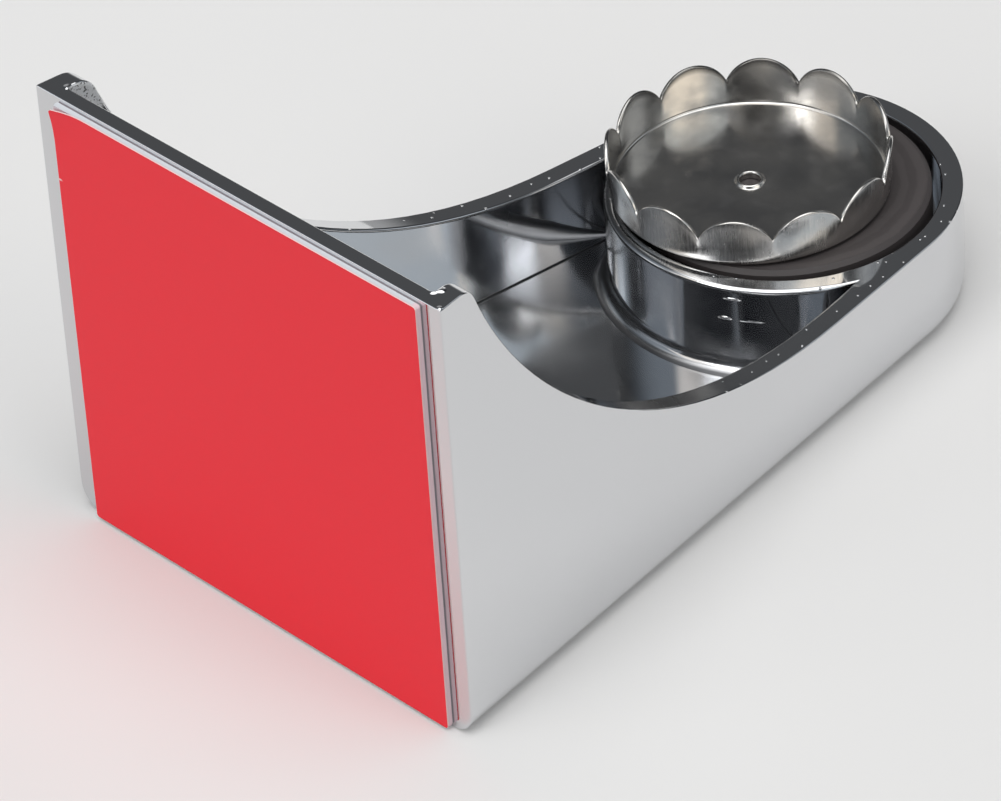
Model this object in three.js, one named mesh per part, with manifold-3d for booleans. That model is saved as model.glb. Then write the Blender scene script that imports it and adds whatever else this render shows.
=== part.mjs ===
// Magnetic soap holder, lying on its flat face with its hollow side up.
// A chromed moulding carries a tape pad on its wall plate and a magnet in a round socket at the end
// of its arm. A scalloped steel cap, the piece that is pressed into the soap, sits on the magnet.
// Millimetres. +Z is up, +Y runs from the wall plate to the nose, and z = 0 is the face it lies on.

import * as THREE from 'three';
import { mergeVertices } from 'three/addons/utils/BufferGeometryUtils.js';
import Module from 'manifold-3d';

const wasm = await Module();
wasm.setup();

// Wall plate
const PLATE_WIDTH = 50;
const PLATE_HEIGHT = 45.5;
const PLATE_THICKNESS = 1.6;

// Arm: two side walls that run in from the plate until they touch the round nose
const ARM_LENGTH = 65.25;
const SIDE_WALL = 2.2;
const FLOOR_THICKNESS = 2.4;
const RIM_HEIGHT = 11.4;
const EDGE_ROUND = 2.5;
const CORNER_ROUND = 0.8;

// Rim of the side walls: a flat shoulder, a small round, then one long scoop down to the low rim
const SHOULDER_FLAT = 2.4;
const SHOULDER_ROUND = 2.2;
const SHOULDER_TURN = THREE.MathUtils.degToRad(70);
const SCOOP_DROP = 14.5;
const SCOOP_RUN = 27;
const LOW_RIM_RUN = 12.1;

// Magnet and the socket that holds it
const MAGNET_RADIUS = 13.9;
const MAGNET_THICKNESS = 6;
const MAGNET_CHAMFER = 0.4;
const MAGNET_SHIFT = 0.2;
const MAGNET_PROUD = 0.3;
const SOCKET_CLEARANCE = 0.6;
const SOCKET_WALL = 2;
const GLUE_THICKNESS = 0.4;
const GLUE_MARGIN = 1.2;
const BOSS_FILLET = 1.4;

// Tape pad on the plate
const FOAM_THICKNESS = 0.6;
const LINER_THICKNESS = 0.15;
const TAPE_SIDE_MARGIN = 2.5;
const TAPE_TOP_MARGIN = 0.4;
const TAPE_LOW_MARGIN = 0.35;
const TAPE_SHIFT = 0.25;
const TAPE_CORNER = 0.3;

// Soap cap, left a little off the magnet's middle as it was last put back
const CAP_RADIUS = 13;
const CAP_HEIGHT = 5.1;
const CAP_SHEET = 0.4;
const CAP_BEND = 0.3;
const CAP_SEAT_GAP = 0.05;
const CAP_SHIFT_X = -2.1;
const CAP_SHIFT_Y = -2.15;
const CAP_TURN = THREE.MathUtils.degToRad(8.2);
const PETALS = 12;
const PETAL_NOTCH = 2.3;
const PETAL_FLARE = 0.2;
const HOLE_RADIUS = 0.95;
const LIP_WIDTH = 0.4;
const LIP_HEIGHT = 0.3;

// How finely the round stretches are drawn
const NOSE_STEPS = 28;
const CIRCLE_STEPS = 56;
const SCOOP_STEPS = 20;
const ROUND_STEPS = 4;
const PETAL_STEPS = 6;

// How far a cutting shape runs past what it cuts
const OVERRUN = 6;

// Sizes that follow from the ones above
const socketRadius = MAGNET_RADIUS + SOCKET_CLEARANCE;
const bossRadius = socketRadius + SOCKET_WALL;
const magnetTop = RIM_HEIGHT + MAGNET_PROUD;
const magnetFoot = magnetTop - MAGNET_THICKNESS;
const socketFloor = magnetFoot - GLUE_THICKNESS;
const tapeWidth = PLATE_WIDTH - 2 * TAPE_SIDE_MARGIN;
const tapeHeight = PLATE_HEIGHT - TAPE_TOP_MARGIN - TAPE_LOW_MARGIN;
const overallBack = -(FOAM_THICKNESS + LINER_THICKNESS);
const overallFront = ARM_LENGTH + bossRadius;

// A side wall touches the nose circle where its outward normal stands at this angle from +X
const wallAngle = wallTangentAngle();

function wallTangentAngle() {
  const halfWidth = PLATE_WIDTH / 2;
  const reach = Math.hypot(halfWidth, ARM_LENGTH);
  return Math.acos(bossRadius / reach) - Math.atan2(ARM_LENGTH, halfWidth);
}

// Half the width between the two side walls' outer faces, moved inwards by inset, at a distance y
function halfWidthAt(y, inset) {
  return PLATE_WIDTH / 2 - (inset + y * Math.sin(wallAngle)) / Math.cos(wallAngle);
}

// A closed mesh as a solid that can be joined and cut
function solidOf(geometry) {
  const bare = geometry.clone();
  bare.deleteAttribute('normal');
  bare.deleteAttribute('uv');
  const merged = mergeVertices(bare, 1e-5);
  const vertProperties = Float32Array.from(merged.attributes.position.array);
  const triVerts = Uint32Array.from(merged.index.array);
  return new wasm.Manifold(new wasm.Mesh({ numProp: 3, vertProperties, triVerts }));
}

// A joined or cut solid as a mesh again
function geometryOf(solid) {
  const mesh = solid.getMesh();
  const geometry = new THREE.BufferGeometry();
  geometry.setAttribute('position', new THREE.Float32BufferAttribute(mesh.vertProperties, 3));
  geometry.setIndex(new THREE.BufferAttribute(Uint32Array.from(mesh.triVerts), 1));
  geometry.computeVertexNormals();
  return geometry;
}

// A lathe profile of [radius, height] points, turned about the Z axis
function turned(profile, steps) {
  const points = profile.map(([radius, height]) => new THREE.Vector2(radius, height));
  return new THREE.LatheGeometry(points, steps).rotateX(Math.PI / 2);
}

// Plan outline of the whole moulding, carried past the plate's face so that the cut there is square
function armOutline() {
  const outline = new THREE.Shape();
  const back = -OVERRUN;
  outline.moveTo(-halfWidthAt(back, 0), back);
  outline.lineTo(halfWidthAt(back, 0), back);
  outline.absarc(0, ARM_LENGTH, bossRadius, wallAngle, Math.PI - wallAngle, false);
  outline.closePath();
  return outline;
}

// Side view of the plate, shoulder, scoop and low rim, drawn with y to the right and z up
function sideProfile() {
  const topOfRound = PLATE_HEIGHT - SHOULDER_ROUND;
  const endAngle = Math.PI / 2 - SHOULDER_TURN;
  const scoopEnd = ARM_LENGTH - LOW_RIM_RUN;
  const startY = SHOULDER_FLAT + SHOULDER_ROUND * Math.cos(endAngle);
  const startZ = topOfRound + SHOULDER_ROUND * Math.sin(endAngle);
  const profile = new THREE.Shape();
  profile.moveTo(0, -OVERRUN);
  profile.lineTo(overallFront + OVERRUN, -OVERRUN);
  profile.lineTo(overallFront + OVERRUN, RIM_HEIGHT);
  profile.lineTo(scoopEnd, RIM_HEIGHT);
  profile.bezierCurveTo(
    scoopEnd - SCOOP_RUN, RIM_HEIGHT,
    startY + SCOOP_DROP * Math.sin(endAngle), startZ - SCOOP_DROP * Math.cos(endAngle),
    startY, startZ,
  );
  profile.absarc(SHOULDER_FLAT, topOfRound, SHOULDER_ROUND, endAngle, Math.PI / 2, false);
  profile.lineTo(0, PLATE_HEIGHT);
  profile.closePath();
  return profile;
}

// Outside of the moulding: the plan outline with a rounded foot, trimmed to the side view
function mouldingOutside() {
  const block = new THREE.ExtrudeGeometry(armOutline(), {
    depth: PLATE_HEIGHT,
    curveSegments: NOSE_STEPS,
    bevelThickness: EDGE_ROUND,
    bevelSize: EDGE_ROUND,
    bevelOffset: -EDGE_ROUND,
    bevelSegments: ROUND_STEPS,
  }).translate(0, 0, EDGE_ROUND);
  const sideways = new THREE.ExtrudeGeometry(sideProfile(), {
    depth: PLATE_WIDTH + 2 * OVERRUN,
    curveSegments: SCOOP_STEPS,
    bevelEnabled: false,
  });
  sideways.translate(0, 0, -PLATE_WIDTH / 2 - OVERRUN);
  sideways.rotateY(Math.PI / 2).rotateX(Math.PI / 2);
  return solidOf(block).intersect(solidOf(sideways));
}

// The hollow between the side walls, with round corners at the plate
function hollowSolid() {
  const near = PLATE_THICKNESS;
  const cornerX = halfWidthAt(near, SIDE_WALL);
  const afterCorner = near + CORNER_ROUND;
  const hollow = new THREE.Shape();
  hollow.moveTo(-cornerX + CORNER_ROUND, near);
  hollow.lineTo(cornerX - CORNER_ROUND, near);
  hollow.quadraticCurveTo(cornerX, near, halfWidthAt(afterCorner, SIDE_WALL), afterCorner);
  hollow.lineTo(halfWidthAt(ARM_LENGTH, SIDE_WALL), ARM_LENGTH);
  hollow.lineTo(-halfWidthAt(ARM_LENGTH, SIDE_WALL), ARM_LENGTH);
  hollow.lineTo(-halfWidthAt(afterCorner, SIDE_WALL), afterCorner);
  hollow.quadraticCurveTo(-cornerX, near, -cornerX + CORNER_ROUND, near);
  const depth = PLATE_HEIGHT - FLOOR_THICKNESS + OVERRUN;
  const prism = new THREE.ExtrudeGeometry(hollow, {
    depth,
    curveSegments: ROUND_STEPS,
    bevelEnabled: false,
  });
  return solidOf(prism.translate(0, 0, FLOOR_THICKNESS));
}

// The round boss that holds the magnet, with a fillet round its foot
function bossSolid() {
  const footRadius = bossRadius + BOSS_FILLET;
  const top = PLATE_HEIGHT + 2 * OVERRUN;
  const profile = [[0, 0], [footRadius, 0]];
  for (let step = 0; step <= ROUND_STEPS; step += 1) {
    const angle = (Math.PI / 2) * (step / ROUND_STEPS);
    profile.push([
      footRadius - BOSS_FILLET * Math.sin(angle),
      FLOOR_THICKNESS + BOSS_FILLET * (1 - Math.cos(angle)),
    ]);
  }
  profile.push([bossRadius, top], [0, top]);
  return solidOf(turned(profile, CIRCLE_STEPS).translate(0, ARM_LENGTH, 0));
}

function holderBodyGeometry() {
  const socket = new THREE.CylinderGeometry(socketRadius, socketRadius, OVERRUN + RIM_HEIGHT, CIRCLE_STEPS);
  socket.rotateX(Math.PI / 2).translate(0, ARM_LENGTH, socketFloor + (OVERRUN + RIM_HEIGHT) / 2);
  const hollow = hollowSolid().subtract(bossSolid());
  return geometryOf(mouldingOutside().subtract(hollow).subtract(solidOf(socket)));
}

// A disc with both edges broken by a small chamfer
function magnetGeometry() {
  return turned([
    [0, 0],
    [MAGNET_RADIUS - MAGNET_CHAMFER, 0],
    [MAGNET_RADIUS, MAGNET_CHAMFER],
    [MAGNET_RADIUS, MAGNET_THICKNESS - MAGNET_CHAMFER],
    [MAGNET_RADIUS - MAGNET_CHAMFER, MAGNET_THICKNESS],
    [0, MAGNET_THICKNESS],
  ], CIRCLE_STEPS);
}

// The adhesive that beds the magnet on the socket's floor
function glueGeometry() {
  const radius = MAGNET_RADIUS - GLUE_MARGIN;
  return turned([[0, 0], [radius, 0], [radius, GLUE_THICKNESS], [0, GLUE_THICKNESS]], CIRCLE_STEPS);
}

// A flat rectangle with round corners, standing against the plate and growing towards -Y
function tapeGeometry(thickness) {
  const half = tapeWidth / 2;
  const round = TAPE_CORNER;
  const sheet = new THREE.Shape();
  sheet.moveTo(-half + round, 0);
  sheet.lineTo(half - round, 0);
  sheet.absarc(half - round, round, round, -Math.PI / 2, 0, false);
  sheet.absarc(half - round, tapeHeight - round, round, 0, Math.PI / 2, false);
  sheet.absarc(-half + round, tapeHeight - round, round, Math.PI / 2, Math.PI, false);
  sheet.absarc(-half + round, round, round, Math.PI, 1.5 * Math.PI, false);
  return new THREE.ExtrudeGeometry(sheet, {
    depth: thickness,
    curveSegments: ROUND_STEPS,
    bevelEnabled: false,
  }).rotateX(Math.PI / 2);
}

// Section of the cap's cup, from the hole out along the underside, up the wall and back inside
function capSection() {
  const outerBend = CAP_BEND + CAP_SHEET;
  const section = [[HOLE_RADIUS, 0]];
  for (let step = 0; step <= ROUND_STEPS; step += 1) {
    const angle = (Math.PI / 2) * (step / ROUND_STEPS);
    section.push([
      CAP_RADIUS - outerBend + outerBend * Math.sin(angle),
      outerBend - outerBend * Math.cos(angle),
    ]);
  }
  section.push([CAP_RADIUS, CAP_HEIGHT], [CAP_RADIUS - CAP_SHEET, CAP_HEIGHT]);
  for (let step = ROUND_STEPS; step >= 0; step -= 1) {
    const angle = (Math.PI / 2) * (step / ROUND_STEPS);
    section.push([
      CAP_RADIUS - outerBend + CAP_BEND * Math.sin(angle),
      outerBend - CAP_BEND * Math.cos(angle),
    ]);
  }
  section.push(
    [HOLE_RADIUS + LIP_WIDTH, CAP_SHEET],
    [HOLE_RADIUS + LIP_WIDTH / 2, CAP_SHEET + LIP_HEIGHT],
    [HOLE_RADIUS, CAP_SHEET + LIP_HEIGHT],
    [HOLE_RADIUS, 0],
  );
  return section;
}

// How far the rim lies below the top of a petal: each petal is an arc that ends in the two notches
function notchDrop(angle) {
  const halfPetal = Math.PI / PETALS;
  const halfChord = CAP_RADIUS * Math.sin(halfPetal);
  const arcRadius = (halfChord ** 2 + PETAL_NOTCH ** 2) / (2 * PETAL_NOTCH);
  const turn = 2 * halfPetal;
  const fromMiddle = angle - turn * Math.round(angle / turn);
  const along = CAP_RADIUS * Math.sin(Math.abs(fromMiddle));
  return arcRadius - Math.sqrt(Math.max(arcRadius ** 2 - along ** 2, 0));
}

// The cup is turned first. Then its wall is drawn down to the petals' outline and flared at the top.
function capGeometry() {
  const wallFoot = CAP_BEND + CAP_SHEET;
  const cup = mergeVertices(stripped(turned(capSection(), PETALS * PETAL_STEPS)), 1e-4);
  const position = cup.attributes.position;
  for (let index = 0; index < position.count; index += 1) {
    const x = position.getX(index);
    const y = position.getY(index);
    const share = Math.max(position.getZ(index) - wallFoot, 0) / (CAP_HEIGHT - wallFoot);
    const radius = Math.hypot(x, y);
    const swell = 1 + (PETAL_FLARE * share) / radius;
    const drop = share * notchDrop(Math.atan2(y, x));
    position.setXYZ(index, x * swell, y * swell, position.getZ(index) - drop);
  }
  cup.computeVertexNormals();
  return cup;
}

function stripped(geometry) {
  geometry.deleteAttribute('normal');
  geometry.deleteAttribute('uv');
  return geometry;
}

// One named mesh for each piece
function piece(name, geometry, color, roughness, metalness) {
  const material = new THREE.MeshStandardMaterial({ color, roughness, metalness });
  const mesh = new THREE.Mesh(geometry, material);
  mesh.name = name;
  return mesh;
}

const holderBody = piece('holder_body', holderBodyGeometry(), 0xc4c6c9, 0.06, 1);

const magnetX = -MAGNET_SHIFT;
const magnetY = ARM_LENGTH - MAGNET_SHIFT;
const magnetGlue = piece('magnet_glue', glueGeometry(), 0xb9b39a, 0.5, 0);
magnetGlue.position.set(magnetX, magnetY, socketFloor);
const magnet = piece('magnet', magnetGeometry(), 0x4a4544, 0.6, 0);
magnet.position.set(magnetX, magnetY, magnetFoot);

const foamTape = piece('foam_tape', tapeGeometry(FOAM_THICKNESS), 0xb4b4b8, 0.8, 0);
foamTape.position.set(TAPE_SHIFT, 0, TAPE_LOW_MARGIN);
const releaseLiner = piece('release_liner', tapeGeometry(LINER_THICKNESS), 0xd93038, 0.35, 0);
releaseLiner.position.set(TAPE_SHIFT, -FOAM_THICKNESS, TAPE_LOW_MARGIN);

const soapCap = piece('soap_cap', capGeometry(), 0x8e8c88, 0.25, 1);
soapCap.position.set(CAP_SHIFT_X, ARM_LENGTH + CAP_SHIFT_Y, magnetTop + CAP_SEAT_GAP);
soapCap.rotation.z = CAP_TURN;

// The origin lies under the middle of the whole object
const soapHolder = new THREE.Group();
soapHolder.add(holderBody, magnetGlue, magnet, foamTape, releaseLiner, soapCap);
soapHolder.position.y = -(overallBack + overallFront) / 2;

export default soapHolder;
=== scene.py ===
"""Studio picture of a magnetic soap holder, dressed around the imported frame."""
import logging
import math
from dataclasses import dataclass
from enum import Enum
from typing import Any

import bpy
import numpy as np
from mathutils import Matrix, Vector


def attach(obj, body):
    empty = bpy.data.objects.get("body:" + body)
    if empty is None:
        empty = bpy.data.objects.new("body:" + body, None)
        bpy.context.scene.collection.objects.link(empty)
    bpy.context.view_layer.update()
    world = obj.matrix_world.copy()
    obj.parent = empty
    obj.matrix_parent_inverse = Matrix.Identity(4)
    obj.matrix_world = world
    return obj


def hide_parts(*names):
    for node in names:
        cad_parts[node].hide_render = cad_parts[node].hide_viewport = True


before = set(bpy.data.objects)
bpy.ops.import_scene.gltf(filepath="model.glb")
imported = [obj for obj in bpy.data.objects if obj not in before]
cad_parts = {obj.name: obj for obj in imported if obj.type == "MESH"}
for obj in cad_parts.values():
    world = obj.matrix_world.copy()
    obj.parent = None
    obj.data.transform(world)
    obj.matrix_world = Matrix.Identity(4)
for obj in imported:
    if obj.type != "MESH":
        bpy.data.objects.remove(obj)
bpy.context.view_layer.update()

Array = np.ndarray
Pair = tuple[Array, Array]
Piece = bpy.types.Object
Material = bpy.types.Material
Socket = bpy.types.NodeSocket

LOG = logging.getLogger("soap_holder")
MM = 0.001
UP = np.array([0.0, 0.0, 1.0])
BACK = np.array([0.0, -1.0, 0.0])
WELD_DIGITS = 4
# Name of the per-corner weight: painted shade with more roughness on the chrome, painted shade on the cap's
# cut edge, and a mark for the liner's pale cut edge
SHADE_AND_DULL = "shade_and_dull"

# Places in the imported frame, in millimetres
PLATE_Y = -40.5
MAGNET_CENTRE = (-0.2, 24.55)
CAP_CENTRE = (-2.1, 22.6)

# Settings that every node of a kind has here
USUAL = {"MapRange": {"interpolation_type": "SMOOTHSTEP"}, "Mix": {"data_type": "RGBA"}}


class Body(Enum):
    """The frame's moving bodies."""

    HOLDER = "holder"
    CAP = "cap"
    LINER = "liner"


class Slot(Enum):
    """The record's material slots."""

    CHROME = "chrome_plated_abs"
    FERRITE = "ferrite"
    FOAM = "foam"
    FILM = "liner_film"
    STEEL = "stainless_steel"


# Geometry helpers


def unit(vectors: Array) -> Array:
    """Returns the vectors scaled to length one along their last axis."""
    return vectors / np.linalg.norm(vectors, axis=-1, keepdims=True)


def pairs(first: Array | float, second: Array | float) -> Array:
    """Returns two sets of coordinates, spread over each other, as pairs."""
    return np.stack(np.broadcast_arrays(first, second), axis=-1)


def spokes(angle: Array | float) -> Array:
    """Returns the unit directions in plan at these angles."""
    return pairs(np.cos(angle), np.sin(angle))


def lift(plan: Array, height: Array | float) -> Array:
    """Returns x, y pairs as points at a height z."""
    return np.stack(np.broadcast_arrays(plan[..., 0], plan[..., 1], height), axis=-1)


def stand(flat: Array, depth: Array | float) -> Array:
    """Returns x, z pairs as points at a depth y."""
    return np.stack(np.broadcast_arrays(flat[..., 0], depth, flat[..., 1]), axis=-1)


def mirror(plan: Array) -> Array:
    """Returns plan points or directions mirrored in x, in reverse order."""
    return plan[::-1] * np.array([-1.0, 1.0])


def turn_between(first: Array, second: Array, steps: int) -> Array:
    """Turns directions evenly from one set to another along great circles.

    Args:
        first: Unit vectors, one for each column.
        second: Unit vectors that they turn to.
        steps: How many rows to give, both ends included.

    Returns:
        Array of shape (steps, columns, 3).
    """
    angle = np.arccos(np.clip((first * second).sum(axis=-1), -1.0, 1.0))[None, :, None]
    share = np.linspace(0.0, 1.0, steps)[:, None, None]
    return (np.sin((1 - share) * angle) * first + np.sin(share * angle) * second) / np.sin(angle)


class Skin:
    """One closed mesh, gathered from patches that carry exact corner normals.

    Points are millimetres. Patches that share an edge repeat its points, and the points are welded when
    the mesh is made, so that flats stay flat, fillets stay smooth and creases stay sharp.
    """

    def __init__(self) -> None:
        """Starts with no patches."""
        self.points: list[Array] = []
        self.normals: list[Array] = []
        self.shade_and_dull: list[Array] = []
        self.quads: list[Array] = []
        self.lids: list[Array] = []
        self.total = 0

    def keep(self, points: Array, normals: Array, shade_and_dull: Array | float) -> Array:
        """Stores points with their normals.

        Args:
            points: Array whose last axis is x, y, z.
            normals: Directions that broadcast to the same shape.
            shade_and_dull: Weight of painted shade with more roughness there, from 0 to 1; the liner uses it
                to mark its pale cut edge.

        Returns:
            The points' numbers, in the shape of the patch.
        """
        numbers = self.total + np.arange(points[..., 0].size).reshape(points.shape[:-1])
        self.points.append(points.reshape(-1, 3))
        self.normals.append(np.broadcast_to(normals, points.shape).reshape(-1, 3))
        self.shade_and_dull.append(np.broadcast_to(shade_and_dull, points.shape[:-1]).reshape(-1))
        self.total += numbers.size
        return numbers

    def grid(self, points: Array, normals: Array, wrap: bool = False, shade_and_dull: Array | float = 0.0) -> None:
        """Adds a patch of quads.

        Args:
            points: Array of shape (rows, columns, 3).
            normals: Directions that broadcast to the same shape.
            wrap: Whether the last column joins the first.
            shade_and_dull: Weight of painted shade with more roughness, for the whole patch or for each row
                or point.
        """
        numbers = self.keep(points, normals, shade_and_dull)
        if wrap:
            numbers = np.concatenate([numbers, numbers[:, :1]], axis=1)
        corners = [numbers[:-1, :-1], numbers[:-1, 1:], numbers[1:, 1:], numbers[1:, :-1]]
        self.quads.append(np.stack(corners, axis=-1).reshape(-1, 4))

    def lid(self, loop: Array, normal: Array, shade_and_dull: float = 0.0) -> None:
        """Adds one flat face with a loop of points as its border."""
        self.lids.append(self.keep(loop, normal, shade_and_dull))

    def mesh(self, name: str, move: tuple[float, float, float] = (0.0, 0.0, 0.0)) -> bpy.types.Mesh:
        """Welds the patches and turns every face to agree with its normals.

        Args:
            name: The mesh's name.
            move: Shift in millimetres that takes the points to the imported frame.

        Returns:
            The mesh, in metres, with the patches' own normals at its corners.
        """
        points = np.concatenate(self.points)
        normals = unit(np.concatenate(self.normals))
        quads = np.concatenate(self.quads)
        corner = points[quads]
        across = np.cross(corner[:, 2] - corner[:, 0], corner[:, 3] - corner[:, 1])
        wrong = (across * normals[quads].sum(axis=1)).sum(axis=1) < 0
        quads[wrong] = quads[wrong, ::-1]
        lids = [self.facing(points[one], normals[one[0]], one) for one in self.lids]
        rounded = points.round(WELD_DIGITS)
        _, first, weld = np.unique(rounded, axis=0, return_index=True, return_inverse=True)
        weld = weld.reshape(-1)
        faces = weld[quads].tolist() + [weld[one].tolist() for one in lids]
        order = np.concatenate([quads.reshape(-1), *lids])
        mesh = bpy.data.meshes.new(name)
        placed = (points[first] + np.array(move)) * MM
        mesh.from_pydata(placed, [], faces, shade_flat=False)
        mesh.update()
        mesh.normals_split_custom_set(normals[order])
        shade_and_dull = mesh.attributes.new(SHADE_AND_DULL, "FLOAT", "CORNER")
        shade_and_dull.data.foreach_set("value", np.concatenate(self.shade_and_dull)[order].astype(np.float32))
        return mesh

    @staticmethod
    def facing(loop: Array, normal: Array, numbers: Array) -> Array:
        """Returns a lid's point numbers in the order that faces along the normal."""
        area = np.cross(loop, np.roll(loop, -1, axis=0)).sum(axis=0)
        return numbers if area @ normal > 0 else numbers[::-1]


def show(mesh: bpy.types.Mesh, material: Material, body: Body, node: str) -> Piece:
    """Puts a mesh into the scene in place of a CAD node.

    Args:
        mesh: The finished mesh, in metres.
        material: Its material.
        body: The frame body that it rides on.
        node: The CAD node that it stands for.

    Returns:
        The new object.
    """
    piece = bpy.data.objects.new(mesh.name, mesh)
    bpy.context.scene.collection.objects.link(piece)
    mesh.materials.append(material)
    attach(piece, body.value)
    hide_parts(node)
    LOG.info("%s: %d faces", piece.name, len(mesh.polygons))
    return piece


# Material helpers


def linear(colour: str) -> tuple[float, float, float, float]:
    """Turns an sRGB hex colour into linear light.

    Args:
        colour: Six hex digits with a leading hash mark.

    Returns:
        Red, green, blue and an alpha of one.
    """
    parts = np.array([int(colour[place : place + 2], 16) for place in (1, 3, 5)]) / 255.0
    light = np.where(parts <= 0.04045, parts / 12.92, ((parts + 0.055) / 1.055) ** 2.4)
    return float(light[0]), float(light[1]), float(light[2]), 1.0


class Recipe:
    """A node tree in the making, for a material or for the world."""

    def __init__(self, owner: Material | bpy.types.World) -> None:
        """Empties the owner's node tree.

        Args:
            owner: The material or the world that the tree belongs to.
        """
        owner.use_nodes = True
        self.tree = owner.node_tree
        self.tree.nodes.clear()

    def add(self, kind: str, inputs: list | dict = (), out: int | str = 0, **settings: Any) -> Socket | None:
        """Adds one node with its settings and links.

        Args:
            kind: The node's type name without its ShaderNode prefix.
            inputs: Constants, or the outputs that feed the sockets, in order or by socket name or number.
            out: Which of the node's outputs to give.
            **settings: The node's own settings.

        Returns:
            The node's output, or nothing where it has none.
        """
        made = self.tree.nodes.new("ShaderNode" + kind)
        for name, value in {**USUAL.get(kind, {}), **settings}.items():
            setattr(made, name, value)
        for key, value in inputs.items() if isinstance(inputs, dict) else enumerate(inputs):
            if isinstance(value, Socket):
                self.tree.links.new(value, made.inputs[key])
            else:
                made.inputs[key].default_value = value
        return made.outputs[out] if made.outputs else None


class Dressing(Recipe):
    """A material in the making, with object coordinates in millimetres and the pieces' attribute that weights
    painted shade.
    """

    def __init__(self, name: str) -> None:
        """Starts a material.

        Args:
            name: The material's name.
        """
        self.material = bpy.data.materials.new(name)
        super().__init__(self.material)
        place = self.add("TexCoord", out="Object")
        self.place = self.add("Mapping", {"Vector": place, "Scale": (1 / MM, 1 / MM, 1 / MM)})
        self.shade_and_dull = self.add("Attribute", out="Fac", attribute_name=SHADE_AND_DULL)

    def close(self, surface: Socket) -> Material:
        """Joins a surface to the output and returns the material."""
        self.add("OutputMaterial", [surface])
        return self.material


# Finishes


@dataclass(frozen=True)
class Flaw:
    """One flaw in a finish: its middle, its reach along each axis and its depth, in millimetres."""

    middle: tuple[float, float, float]
    reach: tuple[float, float, float]
    depth: float = 0.0

    def mask(self, recipe: Dressing) -> Socket:
        """Adds an egg-shaped mask.

        Args:
            recipe: The material in the making.

        Returns:
            A mask that falls from 1 in the middle to 0 at the reach.
        """
        apart = recipe.add("VectorMath", [recipe.place, self.middle], operation="SUBTRACT")
        shares = recipe.add("VectorMath", [apart, self.reach], operation="DIVIDE")
        length = recipe.add("VectorMath", [shares], "Value", operation="LENGTH")
        return recipe.add("MapRange", [length, 0.0, 1.0, 1.0, 0.0])


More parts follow.
